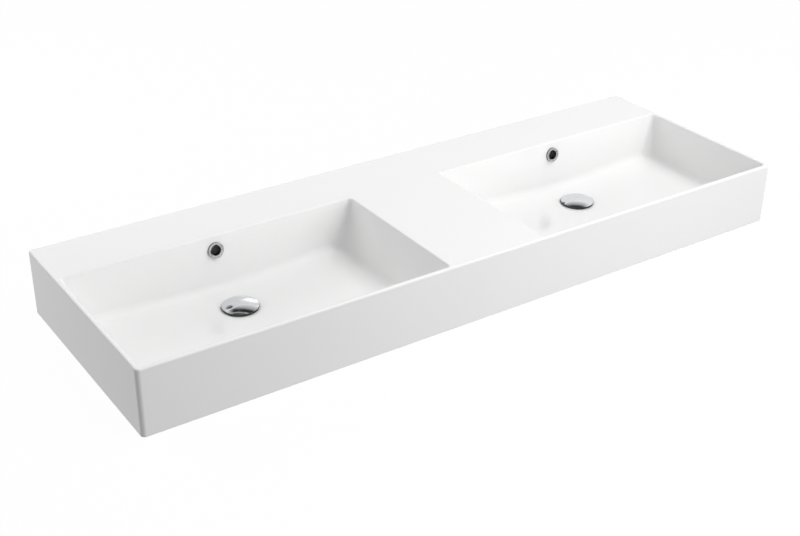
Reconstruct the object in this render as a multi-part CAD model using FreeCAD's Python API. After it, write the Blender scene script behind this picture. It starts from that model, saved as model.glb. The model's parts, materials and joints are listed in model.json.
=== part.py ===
import FreeCAD, Part
import math
import os

# Double countertop basin in glazed ceramic, with two press-to-open wastes.
# Millimetres, +Z up, front towards -Y. The origin is the middle of the seat on the countertop.

# Basin outside
basin_width = 1410.0
basin_depth = 466.0
basin_height = 127.5
corner_radius = 8.0
top_edge_radius = 3.5
base_edge_radius = 2.0

# Bowls: the rim lines lie on the top face, and the walls lean in below them (degrees)
rim_width = 8.0
ledge_depth = 129.0
deck_width = 211.0
rim_edge_radius = 3.0
rim_corner_radius = 6.0
floor_corner_radius = 26.0
floor_edge_radius = 16.0
front_draft = 8.0
rear_draft = 8.0
outer_draft = 12.5
deck_draft = 23.5
floor_height = 22.0
floor_slope = 0.055

# Ceramic thicknesses under the basin
bowl_wall = 9.0
deck_thickness = 12.0
skirt_thickness = 14.0
web_thickness = 12.0
cast_radius = 10.0
drain_boss_wall = 12.0
drain_boss_lift = 1.0

# Overflow: a hole in the rear wall, and a cast duct from it down to the waste
overflow_drop = 28.5
overflow_hole_diameter = 26.0
duct_width = 30.0
duct_depth = 12.0
duct_height = 7.5
duct_wall = 5.0
duct_headroom = 14.0

# Overflow ring
ring_diameter = 31.0
ring_bore = 19.6
ring_stand = 4.8
ring_lip = 3.0
ring_crest = 2.2
ring_spigot_length = 7.0
ring_fit = 0.3

# Waste body, with the outside diameter of a G 1 1/4 thread
waste_to_rear_rim = 94.0
thread_diameter = 41.9
tube_wall = 2.9
tube_length = 80.0
tube_hole_gap = 2.0
flange_diameter = 64.0
flange_thickness = 2.5
flange_edge_chamfer = 0.6
flange_seat_chamfer = 1.5
flange_recess_gap = 1.0
groove_width = 2.0
groove_depth = 1.2
outlet_chamfer = 1.0
slot_count = 4
slot_width = 16.0
arm_count = 3
arm_thickness = 3.0
hub_radius = 8.0
hub_height = 6.0

# Gaskets and nut that clamp the waste to the basin
gasket_thickness = 1.5
gasket_inset = 1.0
thread_gap = 0.1
cone_diameter = 58.0
cone_top_diameter = 51.0
cone_height = 6.0
cone_rim_height = 3.0
washer_diameter = 58.0
washer_thickness = 1.5
nut_sides = 6
nut_flats = 52.0
nut_height = 9.0
nut_flange_diameter = 61.0
nut_flange_height = 2.5
nut_groove_gap = 2.0

# Plug, drawn closed: the cap, its seal and the plunger
plug_travel = 9.0
cap_diameter = 70.0
cap_rim_height = 3.5
cap_dome_height = 4.8
cap_edge_radius = 1.0
cap_foot_radius = 1.6
cap_floor_gap = 0.9
cap_skirt = 3.5
seal_diameter = 60.0
seal_width = 6.0
seal_thickness = 2.0
stem_diameter = 8.0
stem_length = 16.0
stud_diameter = 6.0
stud_length = 3.5
stud_gap = 0.05
collar_height = 3.0
neck_diameter = 5.0
neck_length = 12.0

# Cartridge that latches the plug
sleeve_bore = 12.0
sleeve_wall = 2.0
sleeve_lip = 2.0
sleeve_floor = 3.0
sleeve_stud_diameter = 8.0
sleeve_stud_spare = 2.0
stop_gap = 0.3
slide_gap = 0.05
ratchet_height = 4.0
ratchet_gap = 0.3
ratchet_teeth = 8
tooth_depth = 1.2
tooth_width = 2.4
spring_wire = 1.0
spring_length = 14.0
spring_turns = 6
spring_gap = 0.3

# Places worked out from the sizes above
bowl_outer_x = basin_width / 2 - rim_width
bowl_inner_x = deck_width / 2
bowl_front_y = rim_width - basin_depth / 2
bowl_rear_y = basin_depth / 2 - ledge_depth
waste_x = (bowl_inner_x + bowl_outer_x) / 2
waste_y = bowl_rear_y - waste_to_rear_rim
overflow_z = basin_height - overflow_drop

tube_radius = thread_diameter / 2
tube_bore_radius = tube_radius - tube_wall
drain_radius = tube_radius + tube_hole_gap
flange_radius = flange_diameter / 2
recess_radius = flange_radius + flange_recess_gap
flange_base = floor_height - flange_thickness
recess_base = flange_base - gasket_thickness
duct_top = recess_base - duct_wall
duct_base = duct_top - duct_height
duct_head = overflow_z + duct_headroom
outlet_z = floor_height - tube_length

cone_base = drain_boss_lift - cone_height
washer_base = cone_base - washer_thickness
nut_base = washer_base - nut_height
groove_top = nut_base - nut_groove_gap
groove_base = groove_top - groove_width

cap_underside = floor_height + seal_thickness
cap_rim_base = floor_height + cap_floor_gap
cap_rim_top = cap_rim_base + cap_rim_height
collar_top = cap_underside - stem_length
collar_base = collar_top - collar_height
ratchet_top = collar_base - ratchet_gap
ratchet_base = ratchet_top - ratchet_height
spring_top = ratchet_base - spring_gap
spring_base = spring_top - spring_length
sleeve_bore_base = spring_base - spring_gap
lip_base = collar_top + plug_travel + stop_gap
sleeve_top = lip_base + sleeve_lip
hub_top = sleeve_bore_base - sleeve_floor
hub_base = hub_top - hub_height

vec = FreeCAD.Vector
UP = vec(0, 0, 1)
FULL_TURN = 360.0
RIGHT_ANGLE = 90.0
DIAGONAL = math.sqrt(0.5)
cut_margin = 5.0
tolerance = 0.001


# Plain shapes
def box(x_low, x_high, y_low, y_high, z_low, z_high):
    corner = vec(x_low, y_low, z_low)
    return Part.makeBox(x_high - x_low, y_high - y_low, z_high - z_low, corner)


def disc(radius, z_low, z_high):
    return Part.makeCylinder(radius, z_high - z_low, vec(0, 0, z_low), UP)


def washer(inner_radius, outer_radius, z_low, z_high):
    return disc(outer_radius, z_low, z_high).cut(disc(inner_radius, z_low, z_high))


def turned(profile, crown=None):
    """Solid turned from (radius, height) corners; crown bows the closing run through a point."""
    corners = [vec(radius, 0, height) for radius, height in profile]
    edges = [Part.LineSegment(a, b).toShape() for a, b in zip(corners, corners[1:])]
    if crown:
        edges.append(Part.Arc(corners[-1], vec(crown[0], 0, crown[1]), corners[0]).toShape())
    else:
        edges.append(Part.LineSegment(corners[-1], corners[0]).toShape())
    return Part.Face(Part.Wire(edges)).revolve(vec(0, 0, 0), UP, FULL_TURN)


def side_profile(points, width):
    """Solid of the given width, middle at X = 0, from (y, z) corners."""
    corners = [vec(-width / 2, y, z) for y, z in points]
    face = Part.Face(Part.makePolygon(corners + corners[:1]))
    return face.extrude(vec(width, 0, 0))


def spread(shape, count):
    copies = []
    for index in range(count):
        copy = shape.copy()
        copy.rotate(vec(0, 0, 0), UP, index * FULL_TURN / count)
        copies.append(copy)
    return copies


def moved(shape, x, y, z=0.0):
    copy = shape.copy()
    copy.translate(vec(x, y, z))
    return copy


def with_mirror(shape):
    return [shape, shape.mirror(vec(0, 0, 0), vec(1, 0, 0))]


def edges_at_height(shape, height):
    return [edge for edge in shape.Edges if all(abs(v.Z - height) < tolerance for v in edge.Vertexes)]


# Basin casting
def outer_block():
    half_width = basin_width / 2
    half_depth = basin_depth / 2
    block = box(-half_width, half_width, -half_depth, half_depth, 0, basin_height)
    upright = [edge for edge in block.Edges if edge.BoundBox.ZLength > tolerance]
    block = block.makeFillet(corner_radius, upright)
    block = block.makeFillet(top_edge_radius, edges_at_height(block, basin_height))
    return block.makeFillet(base_edge_radius, edges_at_height(block, 0))


def lean(draft, drop, grow):
    """How far a wall has come in at this drop below the rim, on a form grown by that much."""
    angle = math.radians(draft)
    return drop * math.tan(angle) - grow / math.cos(angle)


def rear_wall_y(height, grow=0.0):
    return bowl_rear_y - lean(rear_draft, basin_height - height, grow)


def bowl_outline(height, grow, radius):
    drop = basin_height - height
    x_inner = bowl_inner_x + lean(deck_draft, drop, grow)
    x_outer = bowl_outer_x - lean(outer_draft, drop, grow)
    y_front = bowl_front_y + lean(front_draft, drop, grow)
    y_rear = rear_wall_y(height, grow)
    plan = [(x_inner, y_front), (x_outer, y_front), (x_outer, y_rear), (x_inner, y_rear)]
    corners = [vec(x, y, height) for x, y in plan]
    outline = Part.makePolygon(corners + corners[:1])
    return Part.Wire(rounded(outline, radius))


def rounded(outline, radius):
    """Edges of a closed outline with each right-angled corner turned into an arc."""
    corners = [vertex.Point for vertex in outline.OrderedVertexes]
    bow = radius * (1 - DIAGONAL)
    arcs = []
    for index, corner in enumerate(corners):
        back = (corners[index - 1] - corner).normalize()
        ahead = (corners[(index + 1) % len(corners)] - corner).normalize()
        arcs.append((corner + back * radius, corner + (back + ahead) * bow, corner + ahead * radius))
    edges = []
    for index, (start, middle, end) in enumerate(arcs):
        edges.append(Part.Arc(start, middle, end).toShape())
        edges.append(Part.LineSegment(end, arcs[(index + 1) % len(arcs)][0]).toShape())
    return edges


def bowl_floor(grow):
    """Everything below the floor, which falls evenly to the waste. Its seam lies towards the rear wall."""
    def height_at(radius):
        return floor_height + (radius - recess_radius) * floor_slope - grow * math.hypot(1, floor_slope)

    reach = basin_width
    well = height_at(drain_radius)
    profile = [
        (0, -cut_margin),
        (reach, -cut_margin),
        (reach, height_at(reach)),
        (drain_radius, well),
        (0, well),
    ]
    below = turned(profile)
    below.rotate(vec(0, 0, 0), UP, RIGHT_ANGLE)
    return moved(below, waste_x, waste_y)


def floor_loop(form):
    """Edges where the sloping floor meets the walls."""
    loop = []
    for face in form.Faces:
        if face.Surface.TypeId == "Part::GeomCone":
            for edge in face.OuterWire.Edges:
                if not edge.isSeam(face):
                    loop.append(edge)
    return loop


def bowl_form(grow):
    top = basin_height + cut_margin
    low_outline = bowl_outline(0, grow, floor_corner_radius + grow)
    top_outline = bowl_outline(top, grow, rim_corner_radius + grow)
    walls = Part.makeLoft([low_outline, top_outline], True, True)
    form = walls.cut(bowl_floor(grow))
    return form.makeFillet(floor_edge_radius + grow, floor_loop(form))


def duct_housing():
    head = basin_height - deck_thickness / 2
    back = duct_depth + duct_wall
    points = [
        (waste_y, drain_boss_lift),
        (rear_wall_y(duct_base, bowl_wall) + back, drain_boss_lift),
        (rear_wall_y(head, bowl_wall) + back, head),
        (rear_wall_y(head), head),
        (rear_wall_y(floor_height), floor_height),
        (waste_y, floor_height),
    ]
    return moved(side_profile(points, duct_width + 2 * duct_wall), waste_x, 0)


def duct():
    points = [
        (waste_y, duct_base),
        (rear_wall_y(duct_base, bowl_wall) + duct_depth, duct_base),
        (rear_wall_y(duct_head, bowl_wall) + duct_depth, duct_head),
        (rear_wall_y(duct_head, bowl_wall), duct_head),
        (rear_wall_y(duct_top, bowl_wall), duct_top),
        (waste_y, duct_top),
    ]
    return moved(side_profile(points, duct_width), waste_x, 0)


def on_rear_wall(shape):
    """Turns a piece made about the Z axis so that it stands on the rear wall at the overflow."""
    copy = shape.copy()
    copy.rotate(vec(0, 0, 0), vec(1, 0, 0), RIGHT_ANGLE - rear_draft)
    return moved(copy, waste_x, rear_wall_y(overflow_z), overflow_z)


def hollow_under_basin():
    half_width = basin_width / 2 - skirt_thickness
    half_depth = basin_depth / 2 - skirt_thickness
    ceiling = basin_height - deck_thickness
    hollow = box(-half_width, half_width, -half_depth, half_depth, -cut_margin, ceiling)
    upright = [edge for edge in hollow.Edges if edge.BoundBox.ZLength > tolerance]
    hollow = hollow.makeFillet(cast_radius, upright + edges_at_height(hollow, ceiling))
    half_web = web_thickness / 2
    keep = [box(-half_web, half_web, -half_depth, half_depth, -cut_margin, basin_height)]
    boss = moved(disc(drain_radius + drain_boss_wall, drain_boss_lift, floor_height), waste_x, waste_y)
    for solid in (bowl_form(bowl_wall), boss, duct_housing()):
        keep.extend(with_mirror(solid))
    return hollow.cut(keep)


def rim_edges(casting):
    """Edges round the bowls, on the top face."""
    level_faces = [face for face in casting.Faces if face.BoundBox.ZMin > basin_height - tolerance]
    top_face = max(level_faces, key=lambda face: face.Area)
    rims = [wire for wire in top_face.Wires if not wire.isSame(top_face.OuterWire)]
    return [edge for wire in rims for edge in wire.Edges]


def basin_casting():
    casting = outer_block()
    for hollow in with_mirror(bowl_form(0)):
        casting = casting.cut(hollow)
    casting = casting.makeFillet(rim_edge_radius, rim_edges(casting))
    casting = casting.cut(hollow_under_basin())
    drain = moved(disc(drain_radius, -cut_margin, floor_height), waste_x, waste_y)
    recess = moved(disc(recess_radius, recess_base, floor_height + cut_margin), waste_x, waste_y)
    overflow = on_rear_wall(disc(overflow_hole_diameter / 2, -bowl_wall - duct_depth / 2, cut_margin))
    for cutter in (drain, recess, duct(), overflow):
        for solid in with_mirror(cutter):
            casting = casting.cut(solid)
    return casting


# Waste fixed to the basin
def overflow_ring():
    bore = ring_bore / 2
    spigot = overflow_hole_diameter / 2 - ring_fit
    edge = ring_diameter / 2
    crest = bore + ring_crest
    profile = [
        (edge, ring_lip),
        (edge, 0),
        (spigot, 0),
        (spigot, -ring_spigot_length),
        (bore, -ring_spigot_length),
        (bore, ring_lip),
        (crest, ring_stand),
    ]
    bulge = (crest + (edge - crest) * DIAGONAL, ring_lip + (ring_stand - ring_lip) * DIAGONAL)
    return turned(profile, bulge)


def waste_body():
    profile = [
        (tube_bore_radius, outlet_z),
        (tube_radius - outlet_chamfer, outlet_z),
        (tube_radius, outlet_z + outlet_chamfer),
        (tube_radius, groove_base),
        (tube_radius - groove_depth, groove_base),
        (tube_radius - groove_depth, groove_top),
        (tube_radius, groove_top),
        (tube_radius, flange_base),
        (flange_radius, flange_base),
        (flange_radius, floor_height - flange_edge_chamfer),
        (flange_radius - flange_edge_chamfer, floor_height),
        (tube_bore_radius + flange_seat_chamfer, floor_height),
        (tube_bore_radius, floor_height - flange_seat_chamfer),
    ]
    body = turned(profile)
    half_slot = slot_width / 2
    slot = box(tube_bore_radius - cut_margin, drain_radius, -half_slot, half_slot, duct_base, duct_top)
    body = body.cut(spread(slot, slot_count))
    arm_end = tube_radius - tube_wall / 2
    arm = box(0, arm_end, -arm_thickness / 2, arm_thickness / 2, hub_base, hub_top)
    body = body.fuse(spread(arm, arm_count) + [disc(hub_radius, hub_base, hub_top)])
    return body.cut(disc(sleeve_stud_diameter / 2, hub_base - cut_margin, hub_top)).removeSplitter()


def flange_gasket():
    return washer(drain_radius + gasket_inset, flange_radius, recess_base, flange_base)


def cone_gasket():
    bore = tube_radius + thread_gap
    profile = [
        (bore, cone_base),
        (cone_diameter / 2, cone_base),
        (cone_diameter / 2, cone_base + cone_rim_height),
        (cone_top_diameter / 2, drain_boss_lift),
        (bore, drain_boss_lift),
    ]
    return turned(profile)


def slip_washer():
    return washer(tube_radius + thread_gap, washer_diameter / 2, washer_base, cone_base)


def lock_nut():
    reach = nut_flats / 2 / math.cos(math.pi / nut_sides)
    corners = []
    for index in range(nut_sides + 1):
        angle = 2 * math.pi * index / nut_sides
        corners.append(vec(reach * math.cos(angle), reach * math.sin(angle), nut_base))
    body = Part.Face(Part.makePolygon(corners)).extrude(vec(0, 0, nut_height))
    flange = disc(nut_flange_diameter / 2, washer_base - nut_flange_height, washer_base)
    bore = disc(tube_radius + thread_gap, nut_base, washer_base)
    return body.fuse(flange).cut(bore).removeSplitter()


# Cartridge
def cartridge_sleeve():
    stud = sleeve_stud_diameter / 2 - slide_gap
    outside = sleeve_bore / 2 + sleeve_wall
    guide = stem_diameter / 2 + slide_gap
    stud_end = hub_base - sleeve_stud_spare
    profile = [
        (0, stud_end),
        (stud, stud_end),
        (stud, hub_top),
        (outside, hub_top),
        (outside, sleeve_top),
        (guide, sleeve_top),
        (guide, lip_base),
        (sleeve_bore / 2, lip_base),
        (sleeve_bore / 2, sleeve_bore_base),
        (0, sleeve_bore_base),
    ]
    return turned(profile)


def ratchet_ring():
    outside = sleeve_bore / 2 - stop_gap
    ring = washer(neck_diameter / 2 + slide_gap, outside, ratchet_base, ratchet_top)
    notch_points = [
        (-tooth_width / 2, ratchet_top),
        (tooth_width / 2, ratchet_top),
        (tooth_width / 2, ratchet_top - tooth_depth),
    ]
    notch = moved(side_profile(notch_points, outside), outside, 0)
    return ring.cut(spread(notch, ratchet_teeth))


def biarc(start, start_way, end, end_way):
    """Two arcs that leave start and reach end along the given directions."""
    chord = end - start
    ways = start_way + end_way
    bend = 2 * (1 - start_way.dot(end_way))
    across = chord.dot(ways)
    reach = (math.sqrt(across * across + bend * chord.dot(chord)) - across) / bend
    near = start + start_way * reach
    far = end - end_way * reach
    meet = (near + far) * 0.5
    return [arc_by_corner(start, near, meet), arc_by_corner(meet, far, end)]


def arc_by_corner(start, corner, end):
    """Arc tangent to both runs of a bend."""
    half_chord = (end - start) * 0.5
    middle = start + half_chord
    rise = corner - middle
    angle = math.atan2(rise.Length, half_chord.Length)
    bow = half_chord.Length * math.tan(angle / 2)
    return Part.Arc(start, middle + rise.normalize() * bow, end).toShape()


def cartridge_spring():
    radius = (neck_diameter + sleeve_bore) / 4
    rise = (spring_length - spring_wire) / spring_turns
    steps_per_turn = 4
    steps = steps_per_turn * spring_turns
    points = []
    ways = []
    for index in range(steps + 1):
        angle = 2 * math.pi * index / steps_per_turn
        height = spring_base + spring_wire / 2 + rise * index / steps_per_turn
        points.append(vec(radius * math.cos(angle), radius * math.sin(angle), height))
        way = vec(-radius * math.sin(angle), radius * math.cos(angle), rise / (2 * math.pi))
        ways.append(way.normalize())
    edges = []
    for index in range(steps):
        edges.extend(biarc(points[index], ways[index], points[index + 1], ways[index + 1]))
    pairs = zip(points, points[steps_per_turn:])
    print("gap between spring turns", min((b - a).Length for a, b in pairs) - spring_wire)
    section = Part.Wire(Part.makeCircle(spring_wire / 2, points[0], ways[0]))
    return Part.Wire(edges).makePipeShell([section], True, False)


# Plug
def plug_cap():
    edge = cap_diameter / 2
    crown = cap_rim_top + cap_dome_height
    dome_radius = (edge * edge + cap_dome_height * cap_dome_height) / (2 * cap_dome_height)
    halfway = crown - dome_radius + math.sqrt(dome_radius * dome_radius - edge * edge / 4)
    profile = [
        (0, crown),
        (0, cap_underside),
        (edge - cap_skirt, cap_underside),
        (edge - cap_skirt, cap_rim_base),
        (edge, cap_rim_base),
        (edge, cap_rim_top),
    ]
    cap = turned(profile, (edge / 2, halfway))
    for radius, height in ((cap_edge_radius, cap_rim_top), (cap_foot_radius, cap_rim_base)):
        outline = max(edges_at_height(cap, height), key=lambda circle: circle.BoundBox.XLength)
        cap = cap.makeFillet(radius, [outline])
    return cap.cut(disc(stud_diameter / 2, cap_underside, cap_underside + stud_length))


def cap_seal():
    return washer(seal_diameter / 2 - seal_width, seal_diameter / 2, floor_height, cap_underside)


def plunger():
    stud = stud_diameter / 2 - stud_gap
    collar = sleeve_bore / 2 - stop_gap
    stud_top = cap_underside + stud_length - stud_gap
    neck_end = collar_base - neck_length
    profile = [
        (0, neck_end),
        (neck_diameter / 2, neck_end),
        (neck_diameter / 2, collar_base),
        (collar, collar_base),
        (collar, collar_top),
        (stem_diameter / 2, collar_top),
        (stem_diameter / 2, cap_underside),
        (stud, cap_underside),
        (stud, stud_top),
        (0, stud_top),
    ]
    return turned(profile)


# Every piece goes to a file of its own
def write(name, shape):
    (solid,) = shape.Solids
    solid.exportStep(os.path.join("parts", name + ".step"))


def write_pair(name, shape):
    right, left = with_mirror(shape)
    write("right_" + name, right)
    write("left_" + name, left)


os.makedirs("parts", exist_ok=True)
write("ceramic_basin", basin_casting())
write_pair("overflow_ring", on_rear_wall(overflow_ring()))
waste_pieces = {
    "waste_body": waste_body(),
    "flange_gasket": flange_gasket(),
    "cone_gasket": cone_gasket(),
    "slip_washer": slip_washer(),
    "lock_nut": lock_nut(),
    "cartridge_sleeve": cartridge_sleeve(),
    "cartridge_spring": cartridge_spring(),
    "ratchet_ring": ratchet_ring(),
    "plunger": plunger(),
    "cap_seal": cap_seal(),
    "plug_cap": plug_cap(),
}
for name, shape in waste_pieces.items():
    write_pair(name, moved(shape, waste_x, waste_y))
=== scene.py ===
import json
import math
import bmesh
import bpy
from mathutils import Matrix, Vector


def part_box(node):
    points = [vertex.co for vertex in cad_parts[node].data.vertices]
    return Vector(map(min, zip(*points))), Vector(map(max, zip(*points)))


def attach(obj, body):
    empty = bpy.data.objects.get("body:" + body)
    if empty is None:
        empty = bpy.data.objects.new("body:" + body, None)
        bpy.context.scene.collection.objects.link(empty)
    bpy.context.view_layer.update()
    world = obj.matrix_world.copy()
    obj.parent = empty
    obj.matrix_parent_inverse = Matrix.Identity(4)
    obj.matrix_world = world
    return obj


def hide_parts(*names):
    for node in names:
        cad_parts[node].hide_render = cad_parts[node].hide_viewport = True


# Looks of a double ceramic basin with two press-to-open wastes. Metres, +Z up, front towards -Y.

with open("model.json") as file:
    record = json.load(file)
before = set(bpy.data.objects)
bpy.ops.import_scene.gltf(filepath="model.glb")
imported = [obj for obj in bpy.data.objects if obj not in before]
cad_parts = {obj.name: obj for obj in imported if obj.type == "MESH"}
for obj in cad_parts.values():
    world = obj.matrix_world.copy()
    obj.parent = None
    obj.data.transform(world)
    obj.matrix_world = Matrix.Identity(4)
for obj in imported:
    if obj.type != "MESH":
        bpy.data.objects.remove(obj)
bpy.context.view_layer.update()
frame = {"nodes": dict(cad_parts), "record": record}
NODES = frame["nodes"]
MOUNTS = {mount["name"]: mount for mount in frame["record"]["mounts"]}
SIDES = ("left", "right")
BASIN_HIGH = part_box("ceramic_basin")[1]
RING_LOW, RING_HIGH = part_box("right_overflow_ring")
RING_MIDDLE = (RING_LOW + RING_HIGH) / 2
RING_LEAN = math.radians(8.0)
RING_AXIS = Vector((0, -math.cos(RING_LEAN), math.sin(RING_LEAN)))
MILLIMETRE = 0.001
FULL_TURN = 2 * math.pi
WHITE = (1.0, 1.0, 1.0, 1.0)

# Camera, at the photograph's viewing angle
PHOTO_WIDTH = 800
FOCAL_PIXELS = 1294.8
SENSOR_WIDTH = 36.0
CAMERA_AIM = Vector((-0.0530, 0.0082, 0.0))
CAMERA_AZIMUTH = -34.52
CAMERA_ELEVATION = 28.80
CAMERA_ROLL = 0.76
CAMERA_DISTANCE = 2.530

# Soft boxes high on the right, low in front and behind on the left, and even light all round
AMBIENT = 0.29
LAMPS = {
    # name: azimuth, elevation, distance, width, height, watts
    "soft_box_high": (60.0, 60.0, 4.0, 3.0, 2.4, 103.0),
    "soft_box_low": (20.0, 15.0, 1.8, 1.0, 0.8, 12.9),
    "soft_box_left": (-140.0, 30.0, 2.5, 2.0, 1.2, 20.0),
}
FLOOR_SIZE = 40.0
FLOOR_COLOUR = (0.92, 0.92, 0.92, 1.0)
FLOOR_WHITENESS = 0.97

# Graded dark card far behind the basin, which only polished surfaces see
CARD_AZIMUTH = 145.0
CARD_ELEVATION = 48.5
CARD_ROLL = -4.0
CARD_DISTANCE = 12.0
CARD_WIDTH = 10.0
CARD_HEIGHT = 6.0
CARD_MIDDLE = 0.5
CARD_SIDE_FADE = 0.2
CARD_SHADES = (
    # share of the height, brightness
    (0.00, 1.00),
    (0.25, 0.60),
    (0.43, 0.42),
    (0.50, 0.15),
    (0.60, 0.025),
    (0.76, 0.03),
    (0.82, 0.50),
    (0.84, 0.50),
    (0.89, 0.06),
)

# Bright panel in front on the right, which polished surfaces see by way of the left bowl's glaze
PANEL_AZIMUTH = 35.4
PANEL_ELEVATION = 34.0
PANEL_DISTANCE = 2.83
PANEL_SIZE = 0.66
PANEL_STRENGTH = 11.5
PANEL_PAST_BOUNCES = 1.5
PANEL_PAST_LENGTH = 2.9

# Pipe thread on the tails
THREAD_PITCH = 2.309 * MILLIMETRE
THREAD_DEPTH = 1.2 * MILLIMETRE
THREAD_RUN_OUT = 1.5 * THREAD_PITCH
THREAD_STEPS = 8
THREAD_SEAM = math.radians(1.0)
WALL_TOLERANCE = 0.05 * MILLIMETRE

# Glaze and bare clay: two tones, the least and most roughness, and noises by scale and detail
GLAZE_IOR = 1.52
GLAZE_TONES = ((0.880, 0.880, 0.876, 1), (0.900, 0.901, 0.899, 1))
GLAZE_MOTTLE = (7.0, 3.0)
GLAZE_ROUGHNESS = (0.045, 0.085)
GLAZE_SMEARS = (26.0, 4.0)
GLAZE_WAVES = (16.0, 1.0)
GLAZE_WAVE_DEPTH = 0.05 * MILLIMETRE
GLAZE_PEEL = (260.0, 2.0)
GLAZE_PEEL_DEPTH = 0.004 * MILLIMETRE
CLAY_TONES = ((0.62, 0.59, 0.54, 1), (0.74, 0.71, 0.66, 1))
CLAY_ROUGHNESS = (0.72, 0.88)
CLAY_GRAIN = (700.0, 3.0)
CLAY_GRAIN_DEPTH = 0.25 * MILLIMETRE

# Where the clay is bare: each pair says where it begins and where it is whole
BARE_FACING = (0.06, 0.02)
SKIRT_GLAZED = 2.5 * MILLIMETRE
DUCT_SIDE = (16.0 * MILLIMETRE, 15.5 * MILLIMETRE)
DUCT_FRONT = (0.5 * MILLIMETRE, 1.5 * MILLIMETRE)
DUCT_REAR = (17.5 * MILLIMETRE, 17.0 * MILLIMETRE)
DUCT_TOP = (2.0 * MILLIMETRE, 1.0 * MILLIMETRE)

# Chrome: two tones for each kind of surface, how far a normal turns where the painted shade on the sides of
# caps and rings begins, and noises
CAP_TONES = ((0.70, 0.71, 0.725, 1), (0.79, 0.795, 0.805, 1))
# Painted shade on cap rims and undersides, dark in place of the dark reflections a polished rim shows
CAP_SIDE_PAINTED_SHADE_TONES = ((0.035, 0.035, 0.037, 1), (0.06, 0.06, 0.062, 1))
CAP_PAINTED_SHADE_TURN = (0.95, 0.88)
# Ring faces: the same chrome as the caps, painted darker as painted shade
RING_SHADED_TONES = ((0.46, 0.465, 0.475, 1), (0.52, 0.525, 0.535, 1))
# Painted shade on ring sides and bores, dark in place of reflections and shadow
RING_SIDE_PAINTED_SHADE_TONES = ((0.07, 0.07, 0.073, 1), (0.11, 0.11, 0.113, 1))
RING_PAINTED_SHADE_TURN = (0.5, 0.2)
CHROME_MARKS = (120.0, 5.0)
CHROME_MARK_RANGE = (0.35, 0.75)
CHROME_ROUGHNESS = (0.045, 0.13)
CHROME_LINES = (300.0, 2400.0, 300.0, 2.0)
CHROME_LINE_DEPTH = 0.002 * MILLIMETRE
CHROME_WAVES = (55.0, 1.0)
CHROME_WAVE_DEPTH = 0.02 * MILLIMETRE

# The range in which most of a noise lies
NOISE_RANGE = (0.3, 0.7)

# The other materials, by slot. Stain is a noise's scale and detail, grain a noise's three scales and detail.
METAL = {"Metallic": 1.0}
PLAIN_LOOKS = {
    "chromed_brass": {
        "sockets": METAL,
        "tones": ((0.56, 0.56, 0.555, 1), (0.66, 0.66, 0.66, 1)),
        "roughness": (0.14, 0.30),
        "stain": (90.0, 5.0),
        "grain": (60.0, 60.0, 3200.0, 2.0),
        "depth": 0.01 * MILLIMETRE,
    },
    "plain_brass": {
        "sockets": METAL,
        "tones": ((0.56, 0.39, 0.15, 1), (0.70, 0.51, 0.23, 1)),
        "roughness": (0.18, 0.34),
        "stain": (70.0, 6.0),
        "grain": (80.0, 80.0, 2600.0, 2.0),
        "depth": 0.012 * MILLIMETRE,
    },
    "cartridge_brass": {
        "sockets": METAL,
        "tones": ((0.60, 0.43, 0.18, 1), (0.74, 0.56, 0.27, 1)),
        "roughness": (0.14, 0.26),
        "stain": (70.0, 6.0),
        "grain": (80.0, 80.0, 2600.0, 2.0),
        "depth": 0.012 * MILLIMETRE,
    },
    "black_rubber": {
        "sockets": {"IOR": 1.5},
        "tones": ((0.016, 0.016, 0.017, 1), (0.045, 0.045, 0.046, 1)),
        "roughness": (0.55, 0.75),
        "stain": (130.0, 6.0),
        "grain": (1800.0, 1800.0, 1800.0, 2.0),
        "depth": 0.03 * MILLIMETRE,
    },
    "white_plastic": {
        "sockets": {"IOR": 1.49},
        "tones": ((0.74, 0.74, 0.715, 1), (0.80, 0.80, 0.785, 1)),
        "roughness": (0.34, 0.48),
        "stain": (60.0, 3.0),
        "grain": (1400.0, 1400.0, 1400.0, 2.0),
        "depth": 0.01 * MILLIMETRE,
    },
    "spring_steel": {
        "sockets": METAL,
        "tones": ((0.42, 0.42, 0.43, 1), (0.56, 0.56, 0.57, 1)),
        "roughness": (0.22, 0.38),
        "stain": (400.0, 3.0),
        "grain": (400.0, 400.0, 400.0, 3.0),
        "depth": 0.01 * MILLIMETRE,
    },
}


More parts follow.
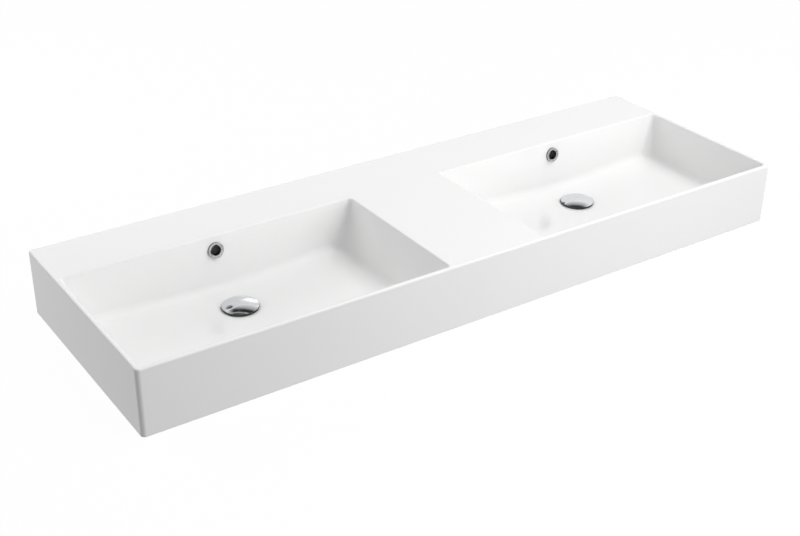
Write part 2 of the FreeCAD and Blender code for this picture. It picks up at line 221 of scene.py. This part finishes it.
# Shader nodes
class Nodes:
    """A node tree, with short ways to add nodes to it. Sockets are given by name or by number."""

    def __init__(self, tree, output="Material Output"):
        self.tree = tree
        self.output = tree.nodes[output]

    def feed(self, node, sockets):
        for key, value in sockets.items():
            if isinstance(value, bpy.types.NodeSocket):
                self.tree.links.new(value, node.inputs[key])
            else:
                node.inputs[key].default_value = value

    def add(self, kind, sockets=None, **settings):
        node = self.tree.nodes.new(kind)
        for name, value in settings.items():
            setattr(node, name, value)
        self.feed(node, sockets or {})
        return node

    def math(self, operation, first, second=0.0):
        return self.add("ShaderNodeMath", {0: first, 1: second}, operation=operation).outputs["Value"]

    def product(self, values):
        total, *others = values
        for value in others:
            total = self.math("MULTIPLY", total, value)
        return total

    def split(self, vector):
        return self.add("ShaderNodeSeparateXYZ", {"Vector": vector}).outputs

    def ramp(self, value, start, end, low=0.0, high=1.0, **settings):
        """Number that goes from low to high as value goes from start to end."""
        ends = {"From Min": start, "From Max": end, "To Min": low, "To Max": high}
        return self.add("ShaderNodeMapRange", {"Value": value, **ends}, **settings).outputs["Result"]

    def blend_values(self, share, first, second):
        """Number that goes from first to second as share goes from 0 to 1."""
        step = self.math("SUBTRACT", second, first)
        return self.math("ADD", first, self.math("MULTIPLY", share, step))

    def mix(self, share, first, second):
        """Colour that goes from first to second as share goes from 0 to 1."""
        colours = {"Color1": first, "Color2": second}
        return self.add("ShaderNodeMixRGB", {"Fac": share, **colours}).outputs["Color"]

    def choose(self, share, first, second):
        """Shader that goes from first to second as share goes from 0 to 1."""
        return self.add("ShaderNodeMixShader", {"Fac": share, 1: first, 2: second}).outputs["Shader"]

    def show(self, shader):
        self.tree.links.new(shader, self.output.inputs["Surface"])


class Look(Nodes):
    """One Principled material."""

    def __init__(self, name, sockets):
        self.material = bpy.data.materials.new(name)
        self.material.use_nodes = True
        super().__init__(self.material.node_tree)
        self.shader = self.tree.nodes["Principled BSDF"]
        self.feed(self.shader, sockets)
        coordinates = self.add("ShaderNodeTexCoord").outputs
        self.place = coordinates["Object"]
        self.normal = coordinates["Normal"]

    def noise(self, scale, detail, place=None):
        sockets = {"Vector": place or self.place, "Scale": scale, "Detail": detail}
        return self.add("ShaderNodeTexNoise", sockets).outputs["Fac"]

    def stretched_noise(self, x, y, z, detail):
        mapping = self.add("ShaderNodeMapping", {"Vector": self.place, "Scale": (x, y, z)})
        return self.noise(1.0, detail, mapping.outputs["Vector"])

    def relief(self, height, depth, under=None):
        sockets = {"Height": height, "Distance": depth, "Strength": 1.0}
        if under is not None:
            sockets["Normal"] = under
        return self.add("ShaderNodeBump", sockets).outputs["Normal"]

    def finish(self, colour, roughness, normal):
        self.feed(self.shader, {"Base Color": colour, "Roughness": roughness, "Normal": normal})
        return self.material


def bare_material(name):
    """A material without a shader, and its nodes."""
    material = bpy.data.materials.new(name)
    material.use_nodes = True
    nodes = Nodes(material.node_tree)
    nodes.tree.nodes.remove(nodes.tree.nodes["Principled BSDF"])
    return material, nodes


# Materials
def underside(look):
    """1 on the faces that don't look up, other than the skirt's outer ones, and 0 elsewhere."""
    place = look.split(look.place)
    shares = [look.ramp(look.split(look.normal)["Z"], *BARE_FACING)]
    for axis, reach in (("X", BASIN_HIGH.x), ("Y", BASIN_HIGH.y)):
        edge = reach - SKIRT_GLAZED
        shares.append(look.ramp(look.math("ABSOLUTE", place[axis]), edge, edge - MILLIMETRE))
    return look.product(shares)


def ducts(look):
    """1 in the overflow ducts, which lie behind the rings, and 0 elsewhere."""
    place = look.split(look.place)
    off_axis = look.math("SUBTRACT", look.math("ABSOLUTE", place["X"]), RING_MIDDLE.x)
    aside = look.math("ABSOLUTE", off_axis)
    behind = look.math("SUBTRACT", place["Y"], RING_HIGH.y)
    above = look.math("SUBTRACT", place["Z"], RING_HIGH.z)
    limits = ((aside, DUCT_SIDE), (behind, DUCT_FRONT), (behind, DUCT_REAR), (above, DUCT_TOP))
    return look.product([look.ramp(value, *ends) for value, ends in limits])


def glaze():
    """White glaze, and bare fired clay on the underside and in the overflow ducts."""
    look = Look("white_glaze", {"IOR": GLAZE_IOR})
    bare = look.math("MAXIMUM", underside(look), ducts(look))
    white = look.mix(look.noise(*GLAZE_MOTTLE), *GLAZE_TONES)
    gloss = look.ramp(look.noise(*GLAZE_SMEARS), *NOISE_RANGE, *GLAZE_ROUGHNESS)
    waves = look.relief(look.noise(*GLAZE_WAVES), GLAZE_WAVE_DEPTH)
    peel = look.relief(look.noise(*GLAZE_PEEL), GLAZE_PEEL_DEPTH, waves)
    grain = look.noise(*CLAY_GRAIN)
    clay = look.mix(grain, *CLAY_TONES)
    matt = look.ramp(grain, *NOISE_RANGE, *CLAY_ROUGHNESS)
    return look.finish(
        colour=look.mix(bare, white, clay),
        roughness=look.blend_values(bare, gloss, matt),
        normal=look.relief(look.math("MULTIPLY", grain, bare), CLAY_GRAIN_DEPTH, peel),
    )


def chrome():
    """Polished chrome with faint polishing lines and dried water marks. Caps and rings have painted shade on
    their sides, dark in place of dark reflections.
    """
    look = Look("chrome_trim", METAL)
    marks = look.noise(*CHROME_MARKS)
    is_ring = look.ramp(look.split(look.place)["Z"], RING_LOW.z - MILLIMETRE, RING_LOW.z)
    up = look.split(look.normal)["Z"]
    along = look.add("ShaderNodeVectorMath", {0: look.normal, 1: RING_AXIS}, operation="DOT_PRODUCT")
    # Painted shade: sides of caps and rings, found by their normals, are coloured dark in place of dark
    # reflections
    cap_painted_shade = look.ramp(up, *CAP_PAINTED_SHADE_TURN)
    ring_painted_shade = look.ramp(look.math("ABSOLUTE", along.outputs["Value"]), *RING_PAINTED_SHADE_TURN)
    # Ring faces take the darker painted-shade tone of the same chrome as the caps
    face = look.mix(is_ring, look.mix(marks, *CAP_TONES), look.mix(marks, *RING_SHADED_TONES))
    # side is the painted shade colour for the sides of caps and rings
    side = look.mix(is_ring, look.mix(marks, *CAP_SIDE_PAINTED_SHADE_TONES), look.mix(marks, *RING_SIDE_PAINTED_SHADE_TONES))
    waves = look.relief(look.noise(*CHROME_WAVES), CHROME_WAVE_DEPTH)
    return look.finish(
        colour=look.mix(look.blend_values(is_ring, cap_painted_shade, ring_painted_shade), face, side),
        roughness=look.ramp(marks, *CHROME_MARK_RANGE, *CHROME_ROUGHNESS),
        normal=look.relief(look.stretched_noise(*CHROME_LINES), CHROME_LINE_DEPTH, waves),
    )


def plain_look(slot, sockets, tones, roughness, stain, grain, depth):
    """A material whose tone and roughness follow one noise, and its relief another."""
    look = Look(slot, sockets)
    tone = look.noise(*stain)
    return look.finish(
        colour=look.mix(tone, *tones),
        roughness=look.ramp(tone, *NOISE_RANGE, *roughness),
        normal=look.relief(look.stretched_noise(*grain), depth),
    )


# Objects
def new_object(name, data):
    made = bpy.data.objects.new(name, data)
    bpy.context.scene.collection.objects.link(made)
    return made


def dress_nodes(looks):
    """Every carried-over node takes the material of its slot."""
    for part in frame["record"]["subparts"]:
        materials = NODES[part["node"]].data.materials
        materials.clear()
        materials.append(looks[part["material_slot"]])


# Threaded tails
def thread_profile(turn):
    """Share of the thread's depth cut away, for a place counted in turns along the thread."""
    wave = abs(2 * (turn % 1.0) - 1)
    return wave * wave * (3 - 2 * wave)


def threaded_waste(side, look):
    """The waste body as the frame has it, with a real thread cut into the plain wall of its tail."""
    node = NODES[f"{side}_waste_body"]
    mount = MOUNTS[f"{side}_waste_tail"]
    middle = Vector(mount["pos_m"])
    radius = mount["dims"]["r_mm"] * MILLIMETRE
    length = mount["dims"]["length_mm"] * MILLIMETRE
    low = middle.z - length / 2
    high = middle.z + length / 2

    def on_wall(vertex):
        reach = math.hypot(vertex.co.x - middle.x, vertex.co.y - middle.y)
        within = low - WALL_TOLERANCE < vertex.co.z < high + WALL_TOLERANCE
        return within and abs(reach - radius) < WALL_TOLERANCE

    def angle(spot):
        """Angle round the tail, counted from just before +X, so that a corner at +X comes first."""
        turned = math.atan2(spot[1] - middle.y, spot[0] - middle.x)
        return (turned + THREAD_SEAM) % FULL_TURN - THREAD_SEAM

    def cut_spot(turned, along):
        """Place on the thread's surface at that angle, and that far along from its lower end."""
        depth = THREAD_DEPTH * min(1.0, along / THREAD_RUN_OUT, (length - along) / THREAD_RUN_OUT)
        reach = radius - depth * thread_profile(along / THREAD_PITCH - turned / FULL_TURN)
        return (middle.x + reach * math.cos(turned), middle.y + reach * math.sin(turned), low + along)

    mesh = bmesh.new()
    mesh.from_mesh(node.data)
    wall = [face for face in mesh.faces if all(on_wall(vertex) for vertex in face.verts)]
    wall_spots = {tuple(vertex.co) for face in wall for vertex in face.verts}

    def end_ring(level):
        """The wall's own corners at one of its ends, in order of angle."""
        return sorted((spot for spot in wall_spots if abs(spot[2] - level) < WALL_TOLERANCE), key=angle)

    first = end_ring(low)
    last = end_ring(high)
    if len(last) != len(first):
        last = [cut_spot(angle(spot), length) for spot in first]
    bmesh.ops.delete(mesh, geom=wall, context="FACES")

    count = math.ceil(length / THREAD_PITCH * THREAD_STEPS)
    between = [[cut_spot(angle(spot), length * row / count) for spot in first] for row in range(1, count)]
    rings = [[mesh.verts.new(spot) for spot in row] for row in (first, *between, last)]
    for lower, upper in zip(rings, rings[1:]):
        for step in range(len(first)):
            face = mesh.faces.new((lower[step - 1], lower[step], upper[step], upper[step - 1]))
            face.smooth = True

    made = bpy.data.meshes.new(f"{side}_threaded_waste")
    mesh.to_mesh(made)
    mesh.free()
    made.materials.append(look)
    piece = new_object(f"{side}_threaded_waste", made)
    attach(piece, "basin")
    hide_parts(node.name)


# Stage
def around(azimuth, elevation, distance):
    """Place at that distance from the aim point. Azimuth 0 is in front of the basin, and 90 to its right."""
    turn = math.radians(azimuth)
    rise = math.radians(elevation)
    flat = math.cos(rise)
    return CAMERA_AIM + distance * Vector((math.sin(turn) * flat, -math.cos(turn) * flat, math.sin(rise)))


def aimed(place, roll=0.0):
    """Matrix of a thing at that place, with its own -Z towards the aim point."""
    facing = (place - CAMERA_AIM).to_track_quat("Z", "Y").to_matrix().to_4x4()
    return Matrix.Translation(place) @ facing @ Matrix.Rotation(math.radians(roll), 4, "Z")


def make_camera():
    data = bpy.data.cameras.new("photo_camera")
    data.sensor_width = SENSOR_WIDTH
    data.lens = FOCAL_PIXELS * SENSOR_WIDTH / PHOTO_WIDTH
    camera = new_object("photo_camera", data)
    camera.matrix_world = aimed(around(CAMERA_AZIMUTH, CAMERA_ELEVATION, CAMERA_DISTANCE), CAMERA_ROLL)
    bpy.context.scene.camera = camera


def make_lamp(name, azimuth, elevation, distance, width, height, watts):
    data = bpy.data.lights.new(name, "AREA")
    data.shape = "RECTANGLE"
    data.size = width
    data.size_y = height
    data.energy = watts
    lamp = new_object(name, data)
    lamp.matrix_world = aimed(around(azimuth, elevation, distance))
    lamp.visible_glossy = False


def seen_directly(nodes):
    """1 for what the camera, a mirror or glass shows, and 0 for the light that falls on surfaces."""
    path = nodes.add("ShaderNodeLightPath").outputs
    by_camera_or_mirror = nodes.math("MAXIMUM", path["Is Camera Ray"], path["Is Glossy Ray"])
    return nodes.math("MAXIMUM", by_camera_or_mirror, path["Is Transmission Ray"])


def make_world():
    world = bpy.data.worlds.new("studio")
    bpy.context.scene.world = world
    world.use_nodes = True
    nodes = Nodes(world.node_tree, "World Output")
    even = nodes.tree.nodes["Background"]
    nodes.feed(even, {"Color": WHITE, "Strength": AMBIENT})
    plain = nodes.add("ShaderNodeBackground", {"Color": WHITE})
    sides = (even.outputs["Background"], plain.outputs["Background"])
    nodes.show(nodes.choose(seen_directly(nodes), *sides))


def floor_material():
    """Pale floor that keeps the shadow, and is open to a view from below."""
    material, nodes = bare_material("pale_floor")
    matt = nodes.add("ShaderNodeBsdfDiffuse", {"Color": FLOOR_COLOUR}).outputs["BSDF"]
    white = nodes.add("ShaderNodeEmission").outputs["Emission"]
    clear = nodes.add("ShaderNodeBsdfTransparent").outputs["BSDF"]
    top = nodes.choose(nodes.math("MULTIPLY", seen_directly(nodes), FLOOR_WHITENESS), matt, white)
    nodes.show(nodes.choose(nodes.add("ShaderNodeNewGeometry").outputs["Backfacing"], top, clear))
    return material


def card_material():
    """White at the foot and sides of the card, like the room round it, and dark across its middle."""
    material, nodes = bare_material("dark_card")
    across = nodes.split(nodes.add("ShaderNodeTexCoord").outputs["Generated"])
    shades = nodes.add("ShaderNodeValToRGB", {"Fac": across["Y"]})
    stops = shades.color_ramp.elements
    while len(stops) < len(CARD_SHADES):
        stops.new(1.0)
    for stop, (height, brightness) in zip(stops, CARD_SHADES):
        stop.position = height
        stop.color = (brightness, brightness, brightness, 1)

    aside = nodes.math("ABSOLUTE", nodes.math("SUBTRACT", across["X"], CARD_MIDDLE))
    fade = nodes.ramp(aside, CARD_MIDDLE - CARD_SIDE_FADE, CARD_MIDDLE, interpolation_type="SMOOTHSTEP")
    shade = nodes.mix(fade, shades.outputs["Color"], WHITE)
    nodes.show(nodes.add("ShaderNodeEmission", {"Color": shade}).outputs["Emission"])
    return material


def panel_material():
    """Clear to all but the reflections that a mirror sees in glaze at some distance from the panel."""
    material, nodes = bare_material("bright_panel")
    path = nodes.add("ShaderNodeLightPath").outputs
    limits = (("Ray Depth", PANEL_PAST_BOUNCES), ("Ray Length", PANEL_PAST_LENGTH))
    seen = nodes.product([nodes.math("GREATER_THAN", path[name], least) for name, least in limits])
    clear = nodes.add("ShaderNodeBsdfTransparent").outputs["BSDF"]
    glow = nodes.add("ShaderNodeEmission", {"Strength": PANEL_STRENGTH}).outputs["Emission"]
    nodes.show(nodes.choose(seen, clear, glow))
    return material


def sheet_object(name, width, height, material):
    """A flat rectangle about its own middle, facing +Z."""
    mesh = bpy.data.meshes.new(name)
    x = width / 2
    y = height / 2
    mesh.from_pydata([(-x, -y, 0), (x, -y, 0), (x, y, 0), (-x, y, 0)], [], [(0, 1, 2, 3)])
    mesh.materials.append(material)
    made = new_object(name, mesh)
    return made


def hang(sheet, place, roll=0.0):
    """Puts a sheet there, square to the aim point, where only mirrors see it."""
    sheet.matrix_world = aimed(place, roll)
    for kind in ("camera", "diffuse", "shadow", "transmission"):
        setattr(sheet, f"visible_{kind}", False)


def make_stage():
    floor = sheet_object("floor", FLOOR_SIZE, FLOOR_SIZE, floor_material())
    floor.visible_diffuse = False
    floor.visible_shadow = False
    card = sheet_object("dark_card", CARD_WIDTH, CARD_HEIGHT, card_material())
    hang(card, around(CARD_AZIMUTH, CARD_ELEVATION, CARD_DISTANCE), CARD_ROLL)
    panel = sheet_object("bright_panel", PANEL_SIZE, PANEL_SIZE, panel_material())
    hang(panel, around(PANEL_AZIMUTH, PANEL_ELEVATION, PANEL_DISTANCE))


looks = {slot_name: plain_look(slot_name, **facts) for slot_name, facts in PLAIN_LOOKS.items()}
looks["white_glaze"] = glaze()
looks["chrome_trim"] = chrome()
dress_nodes(looks)
for side_name in SIDES:
    threaded_waste(side_name, looks["chromed_brass"])

make_camera()
make_world()
for lamp_name, lamp_facts in LAMPS.items():
    make_lamp(lamp_name, *lamp_facts)
make_stage()
bpy.context.scene.view_settings.view_transform = "Standard"

bpy.context.view_layer.update()
